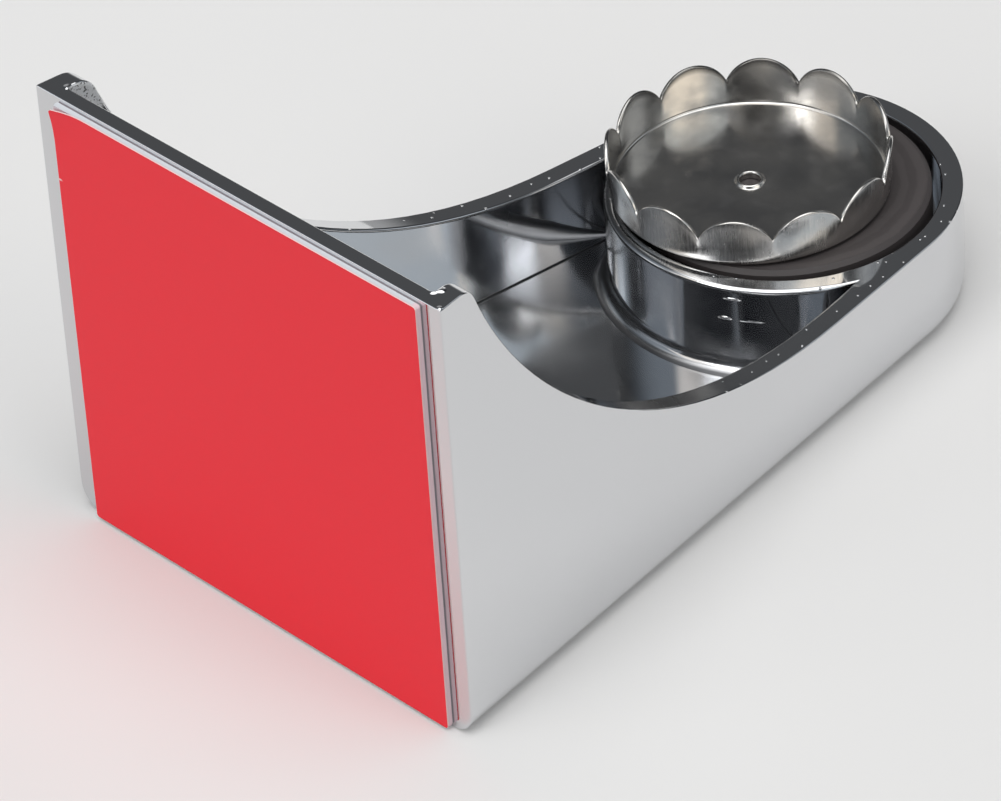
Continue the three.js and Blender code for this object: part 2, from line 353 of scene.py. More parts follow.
@dataclass(frozen=True)
class ChromePlate:
    """Bright chrome over moulded ABS: a mirror with a faint waviness from the moulding under it.

    Lengths are millimetres. Specks and pits are drawn a few times coarser than real pinholes, to show at all.
    """

    colour: str = "#DEDFE1"
    # Painted shade: the plating's colour darkens to this where the corner weight is high
    shade_colour: str = "#3A3B3D"
    pit_colour: str = "#1C1C1E"
    roughness: float = 0.05
    wave_mm: float = 9.0
    wave_depth: float = 0.03
    wave_strength: float = 0.25
    smear_mm: float = 20 / 7
    smear_band: tuple[float, float] = (0.4, 0.75)
    smear_rough: float = 0.04
    dull_rough: float = 0.3
    haze_rough: float = 0.15
    pitted_rough: float = 0.45
    pitted_metal: float = 0.35
    pit_mm: float = 2 / 9
    pit_band: tuple[float, float] = (0.55, 0.65)
    pit_share: float = 0.9
    speck_mm: float = 1.7
    speck_reach: tuple[float, float] = (0.015, 0.085)
    speck_chance: tuple[float, float] = (0.45, 0.8)
    speck_depth: float = 0.085
    speck_above: tuple[float, float] = (6.0, 9.0)
    speck_below: tuple[float, float] = (26.0, 30.0)
    looking_up: tuple[float, float] = (0.5, 0.8)
    dents: tuple[Flaw, ...] = (
        Flaw((22.5, -38.85, 45.5), (0.65, 0.65, 0.65), 0.24),
        Flaw((22.95, -38.35, 45.5), (0.55, 0.55, 0.55), 0.18),
        Flaw((-22.65, -38.9, 45.5), (0.5, 0.5, 0.5), 0.18),
        Flaw((24.6, -40.2, 45.5), (0.35, 0.35, 0.35), 0.12),
        Flaw((7.6, 10.1, 10.3), (1.0, 1.0, 0.16), 0.12),
        Flaw((6.9, 9.8, 8.1), (0.8, 0.8, 0.2), 0.16),
        Flaw((9.1, 11.0, 8.0), (1.4, 1.4, 0.1), 0.05),
    )
    hazes: tuple[Flaw, ...] = (
        Flaw((7.0, 9.8, 3.8), (8.0, 7.0, 3.2)),
        Flaw((10.5, 13.0, 11.4), (9.0, 8.0, 0.7)),
        Flaw((-5.5, 1.5, 2.4), (6.5, 6.5, 1.5)),
    )
    pitted_place: tuple[float, float, float] = (-22.6, -37.5, 43.6)
    pitted_reach: tuple[float, float] = (1.96, 2.8)
    pitted_inside: tuple[float, float] = (-24.4, -24.0)

    def facing(self, recipe: Dressing) -> Socket:
        """Returns how far the surface looks up."""
        return recipe.add("SeparateXYZ", [recipe.add("TexCoord", out="Normal")], "Z")

    def specks(self, recipe: Dressing) -> Socket:
        """Adds small dents on the faces that look up, one in each cell of a loose pattern, and the dents.

        Args:
            recipe: The material in the making.

        Returns:
            Their depth in millimetres.
        """
        pattern = {"Vector": recipe.place, "Scale": 1 / self.speck_mm}
        cells = recipe.add("TexVoronoi", pattern, voronoi_dimensions="2D")
        depth = recipe.add("MapRange", [cells, *self.speck_reach, self.speck_depth, 0.0])
        chance = recipe.add("SeparateXYZ", [cells.node.outputs["Color"]])
        level = recipe.add("SeparateXYZ", [recipe.place], "Z")
        masks = [
            recipe.add("MapRange", [chance, *self.speck_chance]),
            recipe.add("MapRange", [self.facing(recipe), *self.looking_up]),
            recipe.add("MapRange", [level, *self.speck_above]),
            recipe.add("MapRange", [level, *self.speck_below, 1.0, 0.0]),
        ]
        for mask in masks:
            depth = recipe.add("Math", [depth, mask], operation="MULTIPLY")
        for dent in self.dents:
            depth = recipe.add("Math", [dent.mask(recipe), dent.depth, depth], operation="MULTIPLY_ADD")
        return depth

    def pitting(self, recipe: Dressing) -> Socket:
        """Adds the patch of poor plating inside one shoulder.

        Args:
            recipe: The material in the making.

        Returns:
            A mask from 0 to 1.
        """
        apart = recipe.add("VectorMath", [recipe.place, self.pitted_place], "Value", operation="DISTANCE")
        near = recipe.add("MapRange", [apart, *self.pitted_reach, 1.0, 0.0])
        across = recipe.add("SeparateXYZ", [recipe.place], "X")
        masks = [
            recipe.add("MapRange", [self.facing(recipe), *self.looking_up, 1.0, 0.0]),
            recipe.add("MapRange", [across, *self.pitted_inside]),
        ]
        for mask in masks:
            near = recipe.add("Math", [near, mask], operation="MULTIPLY")
        return near

    def build(self) -> Material:
        """Builds the node tree.

        Returns:
            The material.
        """
        recipe = Dressing("bright_chrome_plating")
        wave = recipe.add("TexNoise", {"Vector": recipe.place, "Scale": 1 / self.wave_mm, "Detail": 1.0})
        relief = {"Height": wave, "Strength": self.wave_strength, "Distance": self.wave_depth * MM}
        relief = {"Height": self.specks(recipe), "Distance": MM, "Normal": recipe.add("Bump", relief)}
        bump = recipe.add("Bump", {"Strength": 1.0, **relief})
        smear = recipe.add("TexNoise", {"Vector": recipe.place, "Scale": 1 / self.smear_mm, "Detail": 2.0})
        smeared = (self.roughness, self.roughness + self.smear_rough)
        rough = recipe.add("MapRange", [smear, *self.smear_band, *smeared])
        pitted = self.pitting(recipe)
        layers = [(recipe.shade_and_dull, self.dull_rough), (pitted, self.pitted_rough)]
        layers += [(haze.mask(recipe), self.haze_rough) for haze in self.hazes]
        for mask, more in layers:
            rough = recipe.add("Math", [mask, more, rough], operation="MULTIPLY_ADD")
        pits = recipe.add("TexNoise", {"Vector": recipe.place, "Scale": 1 / self.pit_mm, "Detail": 3.0})
        dark = recipe.add("MapRange", [pits, *self.pit_band, 0.0, self.pit_share])
        dark = recipe.add("Math", [dark, pitted], operation="MULTIPLY")
        # Painted shade: the corner weight darkens the mirror's colour in creases, on fillets and over
        # reflections
        colour = recipe.add("Mix", {0: recipe.shade_and_dull, 6: linear(self.colour), 7: linear(self.shade_colour)}, 2)
        colour = recipe.add("Mix", {0: dark, 6: colour, 7: linear(self.pit_colour)}, 2)
        metal = recipe.add("MapRange", [pitted, 0.0, 1.0, 1.0, self.pitted_metal])
        surface = {"Base Color": colour, "Metallic": metal, "Roughness": rough, "Normal": bump}
        return recipe.close(recipe.add("BsdfPrincipled", surface))


@dataclass(frozen=True)
class StampedSteel:
    """Thin rolled steel drawn into a cap: satin, with draw lines on its wall, smudges from handling and
    painted shade on the far petals' cut edge.

    Lengths are millimetres. The draw lines are drawn a few times coarser than real ones, to show at all.
    """

    colour: str = "#DCD9D4"
    smudge_colour: str = "#B6B5B4"
    cut_shade_colour: str = "#4A4846"
    roughness: float = 0.16
    radius: float = 12.8
    wall_border: float = 0.1
    line_mm: float = 0.2
    line_stretch: float = 0.08
    line_band: tuple[float, float] = (0.35, 0.7)
    line_depth: float = 0.02
    line_strength: float = 0.06
    line_rough: float = 0.06
    smudge_mm: float = 4.0
    smudge_band: tuple[float, float] = (0.3, 0.75)
    handled_mm: float = 2.0
    handled_band: tuple[float, float] = (0.4, 0.75)
    handled_rough: float = 0.1

    def build(self) -> Material:
        """Builds the node tree, with the draw lines laid round the cap's axis.

        Returns:
            The material.
        """
        recipe = Dressing("drawn_steel_sheet")
        spot = recipe.add("VectorMath", [recipe.place, (*CAP_CENTRE, 0.0)], operation="SUBTRACT")
        part = recipe.add("SeparateXYZ", [spot]).node.outputs
        turn = recipe.add("Math", [part["Y"], part["X"]], operation="ARCTAN2")
        around = recipe.add("Math", [turn, self.radius], operation="MULTIPLY")
        along = recipe.add("Math", [part["Z"], self.line_stretch], operation="MULTIPLY")
        pattern = {"Vector": recipe.add("CombineXYZ", [around, along]), "Scale": 1 / self.line_mm}
        lines = recipe.add("TexNoise", {**pattern, "Detail": 2.0}, noise_dimensions="2D")
        level = recipe.add("VectorMath", [spot, (1.0, 1.0, 0.0)], operation="MULTIPLY")
        reach = recipe.add("VectorMath", [level], "Value", operation="LENGTH")
        outside = recipe.add("MapRange", [reach, self.radius, self.radius + self.wall_border])
        drawn = recipe.add("MapRange", [lines, *self.line_band])
        drawn = recipe.add("Math", [drawn, outside], operation="MULTIPLY")
        grain = recipe.add("TexNoise", {"Vector": recipe.place, "Scale": 1 / self.smudge_mm, "Detail": 3.0})
        smudge = recipe.add("MapRange", [grain, *self.smudge_band])
        touch = recipe.add("TexNoise", {"Vector": recipe.place, "Scale": 1 / self.handled_mm, "Detail": 1.5})
        handled = (self.roughness, self.roughness + self.handled_rough)
        rough = recipe.add("MapRange", [touch, *self.handled_band, *handled])
        rough = recipe.add("Math", [drawn, self.line_rough, rough], operation="MULTIPLY_ADD")
        relief = {"Height": lines, "Strength": self.line_strength, "Distance": self.line_depth * MM}
        bump = recipe.add("Bump", relief)
        colour = recipe.add("Mix", {0: smudge, 6: linear(self.colour), 7: linear(self.smudge_colour)}, 2)
        # Painted shade: the corner weight darkens the petals' cut edge
        colour = recipe.add("Mix", {0: recipe.shade_and_dull, 6: colour, 7: linear(self.cut_shade_colour)}, 2)
        surface = {"Base Color": colour, "Metallic": 1.0, "Roughness": rough, "Normal": bump}
        return recipe.close(recipe.add("BsdfPrincipled", surface))


@dataclass(frozen=True)
class SinteredFerrite:
    """Sintered ferrite, ground flat: matte brown-grey with faint grinding arcs.

    Lengths are millimetres. The grit is drawn coarser than the real one, to show at all.
    """

    colour: str = "#4F4A4A"
    arc_colour: str = "#474242"
    roughness: float = 0.5
    arc_mm: float = 1.6
    rings_each: float = 0.31
    arc_band: tuple[float, float] = (0.2, 0.8)
    grit_mm: float = 0.25
    grit_depth: float = 0.02
    grit_strength: float = 0.3

    def build(self) -> Material:
        """Builds the node tree, with the arcs laid round the magnet's axis.

        Returns:
            The material.
        """
        recipe = Dressing("ground_sintered_ferrite")
        spot = recipe.add("VectorMath", [recipe.place, (*MAGNET_CENTRE, 0.0)], operation="SUBTRACT")
        pattern = {"Vector": spot, "Scale": self.rings_each / self.arc_mm, "Distortion": 1.5}
        pattern |= {"Detail": 2.0, "Detail Scale": 2.0}
        arcs = recipe.add("TexWave", pattern, "Fac", wave_type="RINGS", rings_direction="Z")
        ground = recipe.add("MapRange", [arcs, *self.arc_band])
        grit = recipe.add("TexNoise", {"Vector": recipe.place, "Scale": 1 / self.grit_mm, "Detail": 4.0})
        relief = {"Height": grit, "Strength": self.grit_strength, "Distance": self.grit_depth * MM}
        bump = recipe.add("Bump", relief)
        colour = recipe.add("Mix", {0: ground, 6: linear(self.colour), 7: linear(self.arc_colour)}, 2)
        surface = {"Base Color": colour, "Roughness": self.roughness, "Normal": bump}
        return recipe.close(recipe.add("BsdfPrincipled", surface))


@dataclass(frozen=True)
class ClosedCellFoam:
    """Pale closed-cell foam tape: matte, with fine cells on its cut edge, painted red bounce light on one
    side and painted shade along the plate.

    Lengths are millimetres. The painted red light lies on the side that x gives, the painted shade at the
    depth that y gives.
    """

    colour: str = "#DCE0E5"
    # Painted light and shade: a pink tint for red light bounced onto the right cut edge, and a darker band in
    # the crease at the plate
    red_bounce_colour: str = "#EFD3DA"
    contact_shade_colour: str = "#A0989D"
    red_bounce: tuple[float, float] = (21.9, 22.4)
    line: tuple[float, float] = (-40.66, -40.56)
    roughness: float = 0.8
    cell_mm: float = 1 / 6
    cell_depth: float = 0.04
    cell_strength: float = 0.3

    def build(self) -> Material:
        """Builds the node tree.

        Returns:
            The material.
        """
        recipe = Dressing("closed_cell_foam")
        cells = recipe.add("TexVoronoi", {"Vector": recipe.place, "Scale": 1 / self.cell_mm})
        relief = {"Height": cells, "Strength": self.cell_strength, "Distance": self.cell_depth * MM}
        bump = recipe.add("Bump", relief)
        part = recipe.add("SeparateXYZ", [recipe.place]).node.outputs
        # Painted light: a pink tint on the right cut edge stands in for red light bounced from the liner
        red_bounce = recipe.add("MapRange", [part["X"], *self.red_bounce])
        # Painted shade: the foam darkens next to the plate, in the crease between foam and chrome
        line = recipe.add("MapRange", [part["Y"], *self.line])
        colour = recipe.add("Mix", {0: red_bounce, 6: linear(self.colour), 7: linear(self.red_bounce_colour)}, 2)
        colour = recipe.add("Mix", {0: line, 6: colour, 7: linear(self.contact_shade_colour)}, 2)
        surface = {"Base Color": colour, "Roughness": self.roughness, "Normal": bump}
        return recipe.close(recipe.add("BsdfPrincipled", surface))


@dataclass(frozen=True)
class LinerFilm:
    """Silicone-coated red film, slit from a roll: an even red with a soft sheen and a pale cut edge."""

    colour: str = "#F02635"
    edge_colour: str = "#F6D9D8"
    roughness: float = 0.42
    sheen: float = 0.3
    ripple_mm: float = 25 / 3
    ripple_depth: float = 0.05
    ripple_strength: float = 0.1
    nick: Flaw = Flaw((-22.1, -41.2, 37.25), (0.45, 1.0, 0.17))

    def build(self) -> Material:
        """Builds the node tree.

        Returns:
            The material.
        """
        recipe = Dressing("red_release_film")
        ripple = recipe.add("TexNoise", {"Vector": recipe.place, "Scale": 1 / self.ripple_mm, "Detail": 3.0})
        relief = {"Height": ripple, "Strength": self.ripple_strength, "Distance": self.ripple_depth * MM}
        bump = recipe.add("Bump", relief)
        # Here the corner weight marks the cut edge, whose pale colour is the film's own, as is the nick's
        pale = recipe.add("Math", [recipe.shade_and_dull, self.nick.mask(recipe)], operation="MAXIMUM")
        colour = recipe.add("Mix", {0: pale, 6: linear(self.colour), 7: linear(self.edge_colour)}, 2)
        surface = {"Base Color": colour, "Roughness": self.roughness, "Normal": bump}
        return recipe.close(recipe.add("BsdfPrincipled", {**surface, "Specular IOR Level": self.sheen}))


@dataclass(frozen=True)
class ClearAdhesive:
    """Cured glue in the bottom of the socket: a pale resin with cloudy, duller patches."""

    colour: str = "#DAD7CA"
    roughness: float = 0.35
    cloud_mm: float = 2.0
    cloud_band: tuple[float, float] = (0.3, 0.7)
    cloud_rough: float = 0.25

    def build(self) -> Material:
        """Builds the node tree.

        Returns:
            The material.
        """
        recipe = Dressing("cured_adhesive")
        cloud = recipe.add("TexNoise", {"Vector": recipe.place, "Scale": 1 / self.cloud_mm, "Detail": 3.0})
        clouded = (self.roughness, self.roughness + self.cloud_rough)
        rough = recipe.add("MapRange", [cloud, *self.cloud_band, *clouded])
        surface = {"Base Color": linear(self.colour), "Roughness": rough}
        return recipe.close(recipe.add("BsdfPrincipled", surface))


# Pieces


@dataclass
class HolderBody:
    """The chromed moulding: wall plate, side walls, floor, nose and magnet socket in one shell.

    Lengths are millimetres in the moulding's own frame, in which the plate's outer face is y = 0. The weights
    of painted shade with more roughness run from 0 for a mirror to 1.
    """

    half_width: float = 25.0
    height: float = 45.5
    plate: float = 1.6
    arm: float = 65.25
    nose_radius: float = 16.5
    side_wall: float = 2.2
    floor: float = 2.4
    rim: float = 11.4
    edge_round: float = 2.5
    corner_round: float = 0.3
    shoulder_flat: float = 2.4
    shoulder_round: float = 2.2
    shoulder_turn: float = math.radians(70.0)
    scoop_drop: float = 14.5
    scoop_run: float = 27.0
    low_rim_run: float = 12.1
    low_rim_places: tuple[float, float] = (1.4, 2.9)
    socket_radius: float = 14.5
    socket_floor: float = 5.3
    boss_fillet: float = 1.4
    least_fillet: float = 0.1
    fillet_growth: float = 0.3
    rim_growth: float = 0.2
    rim_round: float = 0.18
    wall_rim_round: float = 0.3
    boss_rim_round: float = 0.5
    lip_round: float = 0.3
    back_round: float = 0.12
    foot_round: float = 0.13
    tight_round: float = 0.12
    first_level: float = 1.0
    split_angle: float = math.radians(-20.2)
    boss_clear: float = math.radians(5.8)
    boss_draft: float = math.radians(2.0)
    # Painted shade with more roughness: these weights darken the chrome in the hollow's creases, on the boss,
    # on the floor and along a stretch of the rim
    shade_margin: float = 0.1
    floor_shade: float = 0.12
    fillet_shade: float = 0.8
    boss_rim_shade: float = 0.7
    left_reach: float = 9.0
    rim_shade: float = 0.75
    rim_shade_y: float = 29.5
    rim_shade_reach: float = 6.5
    round_steps: int = 6
    nose_columns: int = 49
    boss_columns: int = 37
    rest_columns: int = 6
    corner_columns: int = 7
    corner_turn: float = math.radians(84.0)
    shoulder_columns: int = 9
    scoop_columns: int = 33
    known_turns: int = 40
    known_places: int = 400

    def __post_init__(self) -> None:
        """Works out the wall's slant and where walls, nose and boss meet."""
        reach = math.hypot(self.half_width, self.arm)
        self.slant = math.acos(self.nose_radius / reach) - math.atan2(self.arm, self.half_width)
        self.wall_normal = spokes(self.slant)
        self.centre = np.array([0.0, self.arm])
        wedge = math.acos((self.nose_radius - self.side_wall) / self.nose_radius)
        self.join_angle = self.slant - wedge
        self.join = self.centre + self.nose_radius * spokes(self.join_angle)
        slanted = math.cos(self.slant - self.split_angle)
        self.join_outside = self.centre + self.nose_radius / slanted * spokes(self.split_angle)
        self.low_start = self.arm - self.low_rim_run
        self.levels = self.wall_levels()

    def half_width_at(self, y: Array, inset: float) -> Array:
        """Returns half the width at y, measured to a plane that far inside the outer wall."""
        return self.half_width - (inset + y * math.sin(self.slant)) / math.cos(self.slant)

    def shoulder(self, turn: Array | float) -> Array:
        """Returns y, z pairs on the round shoulder, a turn away from its top."""
        middle = np.array([self.shoulder_flat, self.height - self.shoulder_round])
        return middle + self.shoulder_round * pairs(np.sin(turn), np.cos(turn))

    def scoop(self, share: Array) -> Pair:
        """Cubic curve of the rim from the shoulder down to the low rim.

        Args:
            share: Curve parameters from 0 to 1.

        Returns:
            Points and tangents, as y, z pairs.
        """
        start = self.shoulder(self.shoulder_turn)
        down = np.array([math.cos(self.shoulder_turn), -math.sin(self.shoulder_turn)])
        first = start + self.scoop_drop * down
        last = np.array([self.low_start, self.rim])
        second = last - np.array([self.scoop_run, 0.0])
        gone = share[:, None]
        rest = 1 - gone
        points = rest**3 * start + 3 * rest**2 * gone * first + 3 * rest * gone**2 * second + gone**3 * last
        tangents = rest**2 * (first - start) + 2 * rest * gone * (second - first) + gone**2 * (last - second)
        return points, tangents

    def rim_at(self, y: Array) -> Pair:
        """Height and upward normal of the rim: flat, round shoulder, cubic scoop, flat.

        Args:
            y: Distances from the plate's outer face.

        Returns:
            Heights, and normals as x, y, z.
        """
        turn = np.linspace(0.0, self.shoulder_turn, self.known_turns)
        curve, tangent = self.scoop(np.linspace(0.0, 1.0, self.known_places))
        slope = unit(pairs(-tangent[:, 1], tangent[:, 0]))
        known = np.concatenate([self.shoulder(turn), curve[1:]])
        normal = np.concatenate([pairs(np.sin(turn), np.cos(turn)), slope[1:]])
        height = np.interp(y, known[:, 0], known[:, 1])
        normal_y = np.interp(y, known[:, 0], normal[:, 0])
        normal_z = np.interp(y, known[:, 0], normal[:, 1])
        return height, unit(np.stack([np.zeros_like(y), normal_y, normal_z], axis=-1))

    def wall_levels(self) -> Array:
        """Gathers the places along the walls at which the roundings and the rim's curve need points.

        Returns:
            The y places that the outer and the inner face share.
        """
        turn = np.linspace(0.0, self.corner_turn, self.corner_columns)
        corner = self.plate + self.corner_round * (1 - np.cos(turn))
        end = self.plate + self.corner_round * (1 + math.sin(self.slant))
        shoulder = self.shoulder(np.linspace(0.0, self.shoulder_turn, self.shoulder_columns))[:, 0]
        curve, _ = self.scoop(np.linspace(0.0, 1.0, self.scoop_columns))
        last = self.low_start + np.array(self.low_rim_places)
        return np.unique(np.concatenate([corner, [end], shoulder, curve[:, 0], last]).round(WELD_DIGITS + 1))

    def outside(self) -> Pair:
        """Plan line of the outer face: right wall, round nose, left wall.

        Returns:
            Points and outward normals, as x, y pairs.
        """
        tangent_y = self.arm + self.nose_radius * math.sin(self.slant)
        rest = np.linspace(self.join_outside[1], tangent_y, self.rest_columns)
        y = np.concatenate([[self.back_round, self.first_level], self.levels, rest])
        wall = pairs(self.half_width_at(y, 0.0), y)
        wall_normal = np.broadcast_to(self.wall_normal, wall.shape)
        nose_normal = spokes(np.linspace(self.slant, math.pi - self.slant, self.nose_columns)[1:-1])
        nose = self.centre + self.nose_radius * nose_normal
        points = np.concatenate([wall, nose, mirror(wall)])
        return points, np.concatenate([wall_normal, nose_normal, mirror(wall_normal)])

    def inside(self) -> Pair:
        """Plan line of the hollow: right wall, round corner, plate, round corner, left wall.

        Returns:
            Points and normals into the hollow, as x, y pairs.
        """
        middle_y = self.plate + self.corner_round
        middle_x = self.half_width_at(middle_y, self.side_wall + self.corner_round)
        end = middle_y + self.corner_round * math.sin(self.slant)
        turn = np.arccos(np.clip((middle_y - self.levels) / self.corner_round, -1.0, 1.0))
        in_corner = (self.levels < end)[:, None]
        arc_normal = pairs(-np.sin(turn), np.cos(turn))
        arc = np.array([middle_x, middle_y]) - self.corner_round * arc_normal
        straight = pairs(self.half_width_at(self.levels, self.side_wall), self.levels)
        points = np.where(in_corner, arc, straight)
        normals = np.where(in_corner, arc_normal, -self.wall_normal)
        right = np.concatenate([points, [self.join]])[::-1]
        right_normal = np.concatenate([normals, [-self.wall_normal]])[::-1]
        across = pairs(middle_x * np.array([0.5, 0.0, -0.5]), self.plate)
        forward = np.broadcast_to([0.0, 1.0], across.shape)
        line = np.concatenate([right, across, mirror(right)])
        return line, np.concatenate([right_normal, forward, mirror(right_normal)])

    def rounded_edge(self, plan: Array, normal: Array, radius: Array) -> Pair:
        """Rounding between an upright face and the rim above it.

        The centre lies a radius inside both faces, and the rows turn from one normal to the other.

        Args:
            plan: The face's plan line.
            normal: Its normals in plan.
            radius: The rounding's radius at each point.

        Returns:
            Points and normals of the rows, from the face up to the rim.
        """
        height, above = self.rim_at(plan[:, 1])
        beside = lift(normal, 0.0)
        lean = 1 + (beside * above).sum(axis=-1, keepdims=True)
        middle = lift(plan, height) - radius[:, None] * (beside + above) / lean
        turned = turn_between(beside, above, self.round_steps)
        return middle + radius[:, None] * turned, turned

    def outer_face(self) -> Pair:
        """Outer skin: rounded foot, upright wall, rounded rim.

        Returns:
            Points and normals of shape (rows, columns, 3).
        """
        plan, normal = self.outside()
        beside = lift(normal, 0.0)
        turned = turn_between(np.broadcast_to(-UP, beside.shape), beside, self.round_steps + 2)
        foot = lift(plan - self.edge_round * normal, self.edge_round) + self.edge_round * turned
        top, top_normal = self.rounded_edge(plan, normal, np.full(len(plan), self.rim_round))
        points = np.concatenate([foot, top])
        along = np.array([-math.tan(self.slant), 1.0, 0.0])
        points[:, 0] += along * (self.back_round - points[:, 0, 1:2])
        points[:, -1] += along * np.array([-1.0, 1.0, 1.0]) * (self.back_round - points[:, -1, 1:2])
        return points, np.concatenate([turned, top_normal])

    def inner_face(self, plan: Array, normal: Array, foot: Array, top: Array) -> Pair:
        """Skin of the hollow: hollow fillet at the floor, upright face, rounded rim.

        The first and last columns lie where the walls meet the boss, so their roundings are tight and they
        are offset along the mitre of both faces.

        Args:
            plan: The face's plan line.
            normal: Its normals in plan.
            foot: The fillet's radius at each point.
            top: The rim rounding's radius at each point.

        Returns:
            Points and normals of shape (rows, columns, 3).
        """
        foot[[0, -1]] = self.tight_round
        top[[0, -1]] = self.tight_round
        spoke = unit(self.join - self.centre)
        mitre = (spoke - self.wall_normal) / (1 - spoke @ self.wall_normal)
        offset = normal.copy()
        offset[[0, -1]] = mitre * pairs(np.sign(plan[[0, -1], 0]), 1.0)
        turn = np.linspace(math.pi / 2, 0.0, self.round_steps)[:, None, None]
        beside = lift(normal, 0.0)
        away = lift(offset, 0.0)
        radius = foot[:, None]
        inward = away + UP - away * np.cos(turn) - UP * np.sin(turn)
        hollow = lift(plan, self.floor) + radius * inward
        hollow_normal = beside * np.cos(turn) + UP * np.sin(turn)
        edge, edge_normal = self.rounded_edge(plan, normal, top)
        turn = turn[::-1, 0]
        for column in (0, -1):
            corner = lift(plan[column], self.rim) - top[column] * (away[column] + UP)
            edge[:, column] = corner + top[column] * (away[column] * np.cos(turn) + UP * np.sin(turn))
        # A row just above the fillet, where the crease's painted shade ends
        above = hollow[-1:] + self.shade_margin * UP
        points = np.concatenate([hollow, above, edge])
        return points, np.concatenate([hollow_normal, beside[None], edge_normal])

    def gap(self, plan: Array) -> Array:
        """Returns how far plan points are from the nearer side wall's inner face."""
        reach = np.abs(plan[:, 0]) * self.wall_normal[0] + plan[:, 1] * self.wall_normal[1]
        return self.half_width * self.wall_normal[0] - self.side_wall - reach

    def boss_face(self) -> tuple[Array, Array, Array]:
        """Skin of the boss inside the hollow, round from the left wall to the right one.

        Its roundings grow with the gap to the walls, its draft lies in the side's normals, and it gets
        painted shade with more roughness on the left and at its foot.

        Returns:
            Points and normals of shape (rows, columns, 3), and each point's weight of painted shade with more
            roughness.
        """
        start, end = -math.pi - self.join_angle, self.join_angle
        middle = np.linspace(start + self.boss_clear, end - self.boss_clear, self.boss_columns)
        normal = spokes(np.concatenate([[start], middle, [end]]))
        plan = self.centre + self.nose_radius * normal
        gap = self.gap(plan)
        foot = np.minimum(self.boss_fillet, self.least_fillet + self.fillet_growth * gap)
        top = np.minimum(self.boss_rim_round, self.tight_round + self.rim_growth * gap)
        points, normals = self.inner_face(plan, normal, foot, top)
        side = slice(self.round_steps - 1, self.round_steps + 2)
        normals[side] = unit(normals[side] + math.tan(self.boss_draft) * UP)
        # Painted shade with more roughness on the boss: its fillet towards the left and all round at the two
        # lowest rows, its top rounding towards the left
        left = np.clip(-plan[:, 0] / self.left_reach, 0.0, 1.0)
        shade_and_dull = np.zeros(points.shape[:2])
        shade_and_dull[: self.round_steps] = self.fillet_shade * left
        shade_and_dull[:2] = self.fillet_shade
        shade_and_dull[self.round_steps + 1 :] = self.boss_rim_shade * left
        return points, normals, shade_and_dull

    def socket_face(self, angle: Array) -> Pair:
        """Magnet socket: an upright round wall with a rounded lip.

        Args:
            angle: The columns' angles about the boss.

        Returns:
            Points and normals of shape (rows, columns, 3).
        """
        spoke = spokes(angle)
        turned = turn_between(lift(-spoke, 0.0), np.broadcast_to(UP, (len(angle), 3)), self.round_steps)
        lip = self.centre + (self.socket_radius + self.lip_round) * spoke
        rounded = lift(lip, self.rim - self.lip_round) + self.lip_round * turned
        floor = lift(self.centre + self.socket_radius * spoke, self.socket_floor)
        return np.concatenate([floor[None], rounded]), np.concatenate([turned[:1], turned])

    def skin(self) -> Skin:
        """Joins the outer face, the hollow, the boss, the socket, the rim and the plate.

        Returns:
            The moulding's skin.
        """
        skin = Skin()
        outer, outer_normal = self.outer_face()
        skin.grid(outer, outer_normal)
        line, line_normal = self.inside()
        foot = np.full(len(line), self.foot_round)
        top = np.full(len(line), self.wall_rim_round)
        inner, inner_normal = self.inner_face(line, line_normal, foot, top)
        # Painted shade in the crease: the hollow's foot fillet gets the full corner weight
        in_foot = np.arange(len(inner)) < self.round_steps
        skin.grid(inner, inner_normal, shade_and_dull=in_foot[:, None].astype(float))
        boss, boss_normal, boss_dull = self.boss_face()
        skin.grid(boss, boss_normal, shade_and_dull=boss_dull)
        self.close_rim(skin, outer[-1], inner[-1], boss[-1])
        # The hollow's floor gets a little painted shade with more roughness
        skin.lid(np.concatenate([inner[0], boss[0, 1:-1]]), UP, self.floor_shade)
        skin.lid(outer[0], -UP)
        self.close_back(skin, outer, outer_normal)
        return skin

    def close_rim(self, skin: Skin, outer: Array, inner: Array, boss: Array) -> None:
        """Adds the rim's top faces, the socket and the boss's ring.

        Args:
            skin: The skin to add to.
            outer: Top row of the outer face.
            inner: Top row of the hollow's walls.
            boss: Top row of the boss inside the hollow.
        """
        count = len(self.levels)
        _, above = self.rim_at(np.concatenate([self.levels, [self.arm]]))
        right = outer[2 : count + 3]
        # Painted shade with more roughness along a stretch of the right rim, darkening the cap's reflection
        # there
        rim_shading = self.rim_shade * np.exp(-(((right[:, 1] - self.rim_shade_y) / self.rim_shade_reach) ** 2))
        skin.grid(np.stack([right, inner[count::-1]]), above, shade_and_dull=rim_shading)
        skin.grid(np.stack([outer[::-1][2 : count + 3], inner[count + 4 :]]), above)
        skin.lid(np.concatenate([outer[:3], inner[count : count + 5], outer[-3:]]), UP)
        ring = outer[count + 2 : len(outer) - count - 2]
        nose_angle = np.arctan2(ring[1:-1, 1] - self.arm, ring[1:-1, 0])
        boss_angle = np.arctan2(boss[1:-1, 1] - self.arm, boss[1:-1, 0])
        splits = np.array([self.split_angle, math.pi - self.split_angle])
        around = np.concatenate([boss_angle, splits[:1], nose_angle, splits[1:]])
        socket, socket_normal = self.socket_face(around)
        skin.grid(socket, socket_normal, wrap=True)
        skin.lid(socket[0], UP)
        top = socket[-1]
        split = len(boss) - 2
        skin.grid(np.stack([np.concatenate([top[-1:], top[: split + 1]]), boss]), UP)
        skin.grid(np.stack([top[split:], ring]), UP)
        skin.lid(np.stack([top[split], boss[-1], ring[0]]), UP)
        skin.lid(np.stack([top[-1], boss[0], ring[-1]]), UP)

